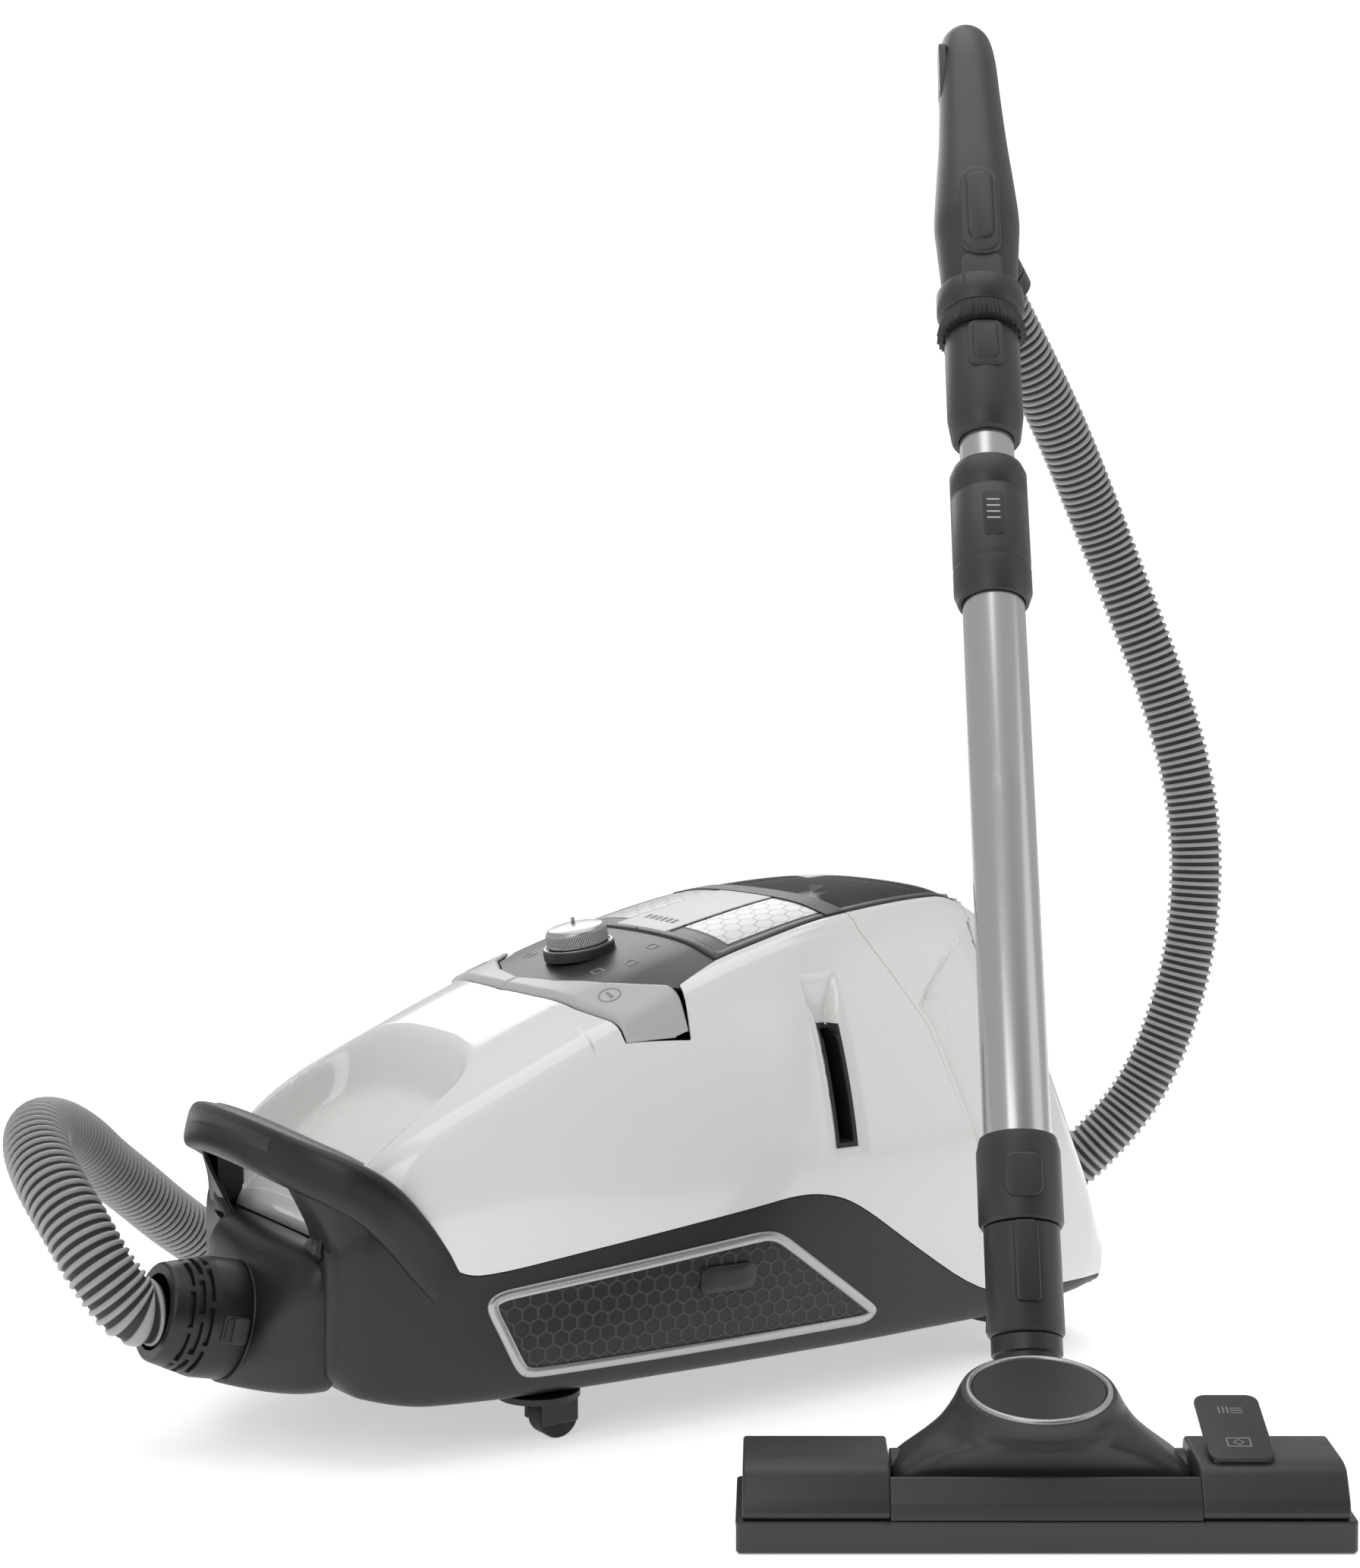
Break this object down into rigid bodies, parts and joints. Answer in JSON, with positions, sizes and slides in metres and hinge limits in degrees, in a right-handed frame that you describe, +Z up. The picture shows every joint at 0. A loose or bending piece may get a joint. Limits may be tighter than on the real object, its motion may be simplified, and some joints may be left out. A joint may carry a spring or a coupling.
{
  "type": "canister vacuum cleaner",
  "caption": "Bagless canister vacuum cleaner on casters with a ribbed hose, telescopic steel wand, handle and floorhead.",
  "frame": {"origin": "on the floor, under the middle of the box of everything but the hose", "axes": "+Z up; +X from the nose with the hose inlet to the tail; +Y to the side away from the floorhead"},
  "size_m": [0.8249, 0.7403, 0.8574],
  "materials": {
    "dark_grey_abs": "satin",
    "silver_trim": "satin silver",
    "motor_metal": "cast",
    "bristle": "bristle",
    "black_abs": "satin",
    "black_rubber": "matt",
    "smoked_clear": "clear smoked",
    "filter_fleece": "fleece",
    "hose_grey": "satin",
    "stainless_tube": "brushed",
    "light_grey_abs": "satin",
    "warm_white_abs": "gloss"
  },
  "bodies": {
    "canister": {"lower_casing": "black_abs", "upper_shell": "warm_white_abs", "rear_shell": "warm_white_abs", "rear_bumper": "black_rubber", "inlet_housing": "black_abs", "carry_handle": "black_abs", "control_panel": "dark_grey_abs", "park_slot_guide": "black_abs", "cord_inlet_grommet": "black_rubber", "exhaust_grille_left": "black_abs", "exhaust_grille_right": "black_abs", "grille_frame_left": "silver_trim", "grille_frame_right": "silver_trim", "blower_motor": "motor_metal", "exhaust_filter": "filter_fleece", "hose": "hose_grey", "lower_tube": "stainless_tube", "lower_connector": "dark_grey_abs", "neck_collar": "dark_grey_abs"},
    "hose_cuff": {"hose_cuff": "black_abs"},
    "cuff_latch_left": {"cuff_latch_left": "black_abs"},
    "cuff_latch_right": {"cuff_latch_right": "black_abs"},
    "power_pedal": {"power_pedal": "light_grey_abs"},
    "rewind_pedal": {"rewind_pedal": "light_grey_abs"},
    "speed_knob": {"speed_knob": "silver_trim"},
    "dust_container": {"dust_container": "smoked_clear", "container_lid": "smoked_clear", "cyclone_cone": "smoked_clear", "vortex_finder": "light_grey_abs"},
    "cord_reel": {"cord_reel": "dark_grey_abs"},
    "blower_fan": {"blower_fan": "silver_trim"},
    "caster_fork_front_left": {"caster_fork_front_left": "black_abs"},
    "caster_wheel_front_left": {"caster_wheel_front_left": "black_rubber"},
    "caster_fork_front_right": {"caster_fork_front_right": "black_abs"},
    "caster_wheel_front_right": {"caster_wheel_front_right": "black_rubber"},
    "caster_fork_rear_left": {"caster_fork_rear_left": "black_abs"},
    "caster_wheel_rear_left": {"caster_wheel_rear_left": "black_rubber"},
    "caster_fork_rear_right": {"caster_fork_rear_right": "black_abs"},
    "caster_wheel_rear_right": {"caster_wheel_rear_right": "black_rubber"},
    "handle": {"upper_tube": "stainless_tube", "upper_connector": "dark_grey_abs", "dusting_brush_collar": "dark_grey_abs", "dusting_brush_bristles": "bristle", "handle_body": "dark_grey_abs"},
    "telescope_sleeve": {"telescope_sleeve": "dark_grey_abs"},
    "wand_release_button": {"wand_release_button": "dark_grey_abs"},
    "handle_release_button": {"handle_release_button": "dark_grey_abs"},
    "air_slider": {"air_slider": "dark_grey_abs"},
    "hose_swivel_ring": {"hose_swivel_ring": "dark_grey_abs"},
    "neck_latch": {"neck_latch": "dark_grey_abs"},
    "floorhead_neck": {"bell_housing": "dark_grey_abs", "disc_ring": "silver_trim"},
    "floorhead": {"head_cover": "dark_grey_abs", "sole_frame": "dark_grey_abs"},
    "rocker_pedal": {"rocker_pedal": "dark_grey_abs"},
    "brush_strip_front": {"brush_strip_front": "bristle"},
    "brush_strip_rear": {"brush_strip_rear": "bristle"}
  },
  "joints": [
    {"name": "cuff_swivel", "type": "hinge", "parent": "canister", "child": "hose_cuff", "pos_m": [-0.25131, 0.1639, 0.06415], "axis": [-0.9703, 0, 0.2419], "continuous": true},
    {"name": "cuff_latch_left_press", "type": "slide", "parent": "hose_cuff", "child": "cuff_latch_left", "axis": [0, 1, 0], "range_m": [0, 0.0018], "stiffness_N_per_m": 500, "springref_m": -0.001},
    {"name": "cuff_latch_right_press", "type": "slide", "parent": "hose_cuff", "child": "cuff_latch_right", "axis": [0, -1, 0], "range_m": [0, 0.0018], "stiffness_N_per_m": 500, "springref_m": -0.001},
    {"name": "power_pedal_press", "type": "slide", "parent": "canister", "child": "power_pedal", "axis": [0, 0, -1], "range_m": [0, 0.003], "stiffness_N_per_m": 1500, "springref_m": -0.001},
    {"name": "rewind_pedal_press", "type": "slide", "parent": "canister", "child": "rewind_pedal", "axis": [0, 0, -1], "range_m": [0, 0.003], "stiffness_N_per_m": 1500, "springref_m": -0.001},
    {"name": "speed_knob_turn", "type": "hinge", "parent": "canister", "child": "speed_knob", "pos_m": [-0.04263, 0.1639, 0.2585], "axis": [-0.1908, 0, 0.9816], "range_deg": [-140, 140]},
    {"name": "container_lift", "type": "slide", "parent": "canister", "child": "dust_container", "axis": [0, 0, 1], "range_m": [0, 0.16]},
    {"name": "cord_reel_spin", "type": "hinge", "parent": "canister", "child": "cord_reel", "pos_m": [0.05437, 0.1639, 0.046], "axis": [0, 0, 1], "continuous": true},
    {"name": "blower_fan_spin", "type": "hinge", "parent": "canister", "child": "blower_fan", "pos_m": [-0.12313, 0.1639, 0.092], "axis": [1, 0, 0], "continuous": true},
    {"name": "caster_swivel_front_left", "type": "hinge", "parent": "canister", "child": "caster_fork_front_left", "pos_m": [-0.12363, 0.0719, 0.026], "axis": [0, 0, 1], "continuous": true},
    {"name": "caster_roll_front_left", "type": "hinge", "parent": "caster_fork_front_left", "child": "caster_wheel_front_left", "pos_m": [-0.11463, 0.0719, 0.012], "axis": [0, 1, 0], "continuous": true},
    {"name": "caster_swivel_front_right", "type": "hinge", "parent": "canister", "child": "caster_fork_front_right", "pos_m": [-0.12363, 0.2559, 0.026], "axis": [0, 0, 1], "continuous": true},
    {"name": "caster_roll_front_right", "type": "hinge", "parent": "caster_fork_front_right", "child": "caster_wheel_front_right", "pos_m": [-0.11463, 0.2559, 0.012], "axis": [0, 1, 0], "continuous": true},
    {"name": "caster_swivel_rear_left", "type": "hinge", "parent": "canister", "child": "caster_fork_rear_left", "pos_m": [0.19437, 0.0559, 0.026], "axis": [0, 0, 1], "continuous": true},
    {"name": "caster_roll_rear_left", "type": "hinge", "parent": "caster_fork_rear_left", "child": "caster_wheel_rear_left", "pos_m": [0.20337, 0.0559, 0.012], "axis": [0, 1, 0], "continuous": true},
    {"name": "caster_swivel_rear_right", "type": "hinge", "parent": "canister", "child": "caster_fork_rear_right", "pos_m": [0.19437, 0.2719, 0.026], "axis": [0, 0, 1], "continuous": true},
    {"name": "caster_roll_rear_right", "type": "hinge", "parent": "caster_fork_rear_right", "child": "caster_wheel_rear_right", "pos_m": [0.20337, 0.2719, 0.012], "axis": [0, 1, 0], "continuous": true},
    {"name": "wand_telescope", "type": "slide", "parent": "canister", "child": "handle", "axis": [0.2741, 0.3915, 0.8784], "range_m": [0, 0.27], "deforming": ["hose"]},
    {"name": "telescope_sleeve_unlock", "type": "slide", "parent": "canister", "child": "telescope_sleeve", "axis": [0.2741, 0.3915, 0.8784], "range_m": [-0.008, 0], "stiffness_N_per_m": 500, "springref_m": 0.001},
    {"name": "wand_release_button_press", "type": "slide", "parent": "handle", "child": "wand_release_button", "axis": [0.5038, 0.7195, -0.4779], "range_m": [0, 0.0015], "stiffness_N_per_m": 500, "springref_m": -0.001},
    {"name": "handle_release_button_press", "type": "slide", "parent": "handle", "child": "handle_release_button", "axis": [0.5038, 0.7195, -0.4779], "range_m": [0, 0.002], "stiffness_N_per_m": 500, "springref_m": -0.001},
    {"name": "air_slider_open", "type": "slide", "parent": "handle", "child": "air_slider", "axis": [0.2741, 0.3915, 0.8784], "range_m": [0, 0.02]},
    {"name": "hose_swivel", "type": "hinge", "parent": "handle", "child": "hose_swivel_ring", "pos_m": [0.27217, 0.15586, 0.66222], "axis": [-0.6514, -0.1248, 0.7484], "continuous": true},
    {"name": "neck_latch_press", "type": "slide", "parent": "canister", "child": "neck_latch", "axis": [0.5038, 0.7195, -0.4779], "range_m": [0, 0.0013], "stiffness_N_per_m": 500, "springref_m": -0.001},
    {"name": "neck_swivel", "type": "hinge", "parent": "canister", "child": "floorhead_neck", "pos_m": [0.0206, -0.17499, 0.0033], "axis": [0.2741, 0.3915, 0.8784], "range_deg": [-60, 60]},
    {"name": "floorhead_tilt", "type": "hinge", "parent": "floorhead_neck", "child": "floorhead", "pos_m": [0.01245, -0.18662, 0.022], "axis": [0.8192, -0.5736, 0], "range_deg": [-26, 32]},
    {"name": "rocker_tip", "type": "hinge", "parent": "floorhead", "child": "rocker_pedal", "pos_m": [0.08576, -0.25016, 0.038], "axis": [-0.8192, 0.5736, 0], "range_deg": [0, 12]},
    {"name": "brush_strip_front_drop", "type": "slide", "parent": "floorhead", "child": "brush_strip_front", "axis": [0, 0, -1], "range_m": [0, 0.0025]},
    {"name": "brush_strip_rear_drop", "type": "slide", "parent": "floorhead", "child": "brush_strip_rear", "axis": [0, 0, -1], "range_m": [0, 0.0025]}
  ],
  "couplings": [
    {"joint": "brush_strip_front_drop", "follows": "rocker_tip", "m_per_rad": 0.011937},
    {"joint": "brush_strip_rear_drop", "follows": "rocker_tip", "m_per_rad": 0.011937}
  ]
}
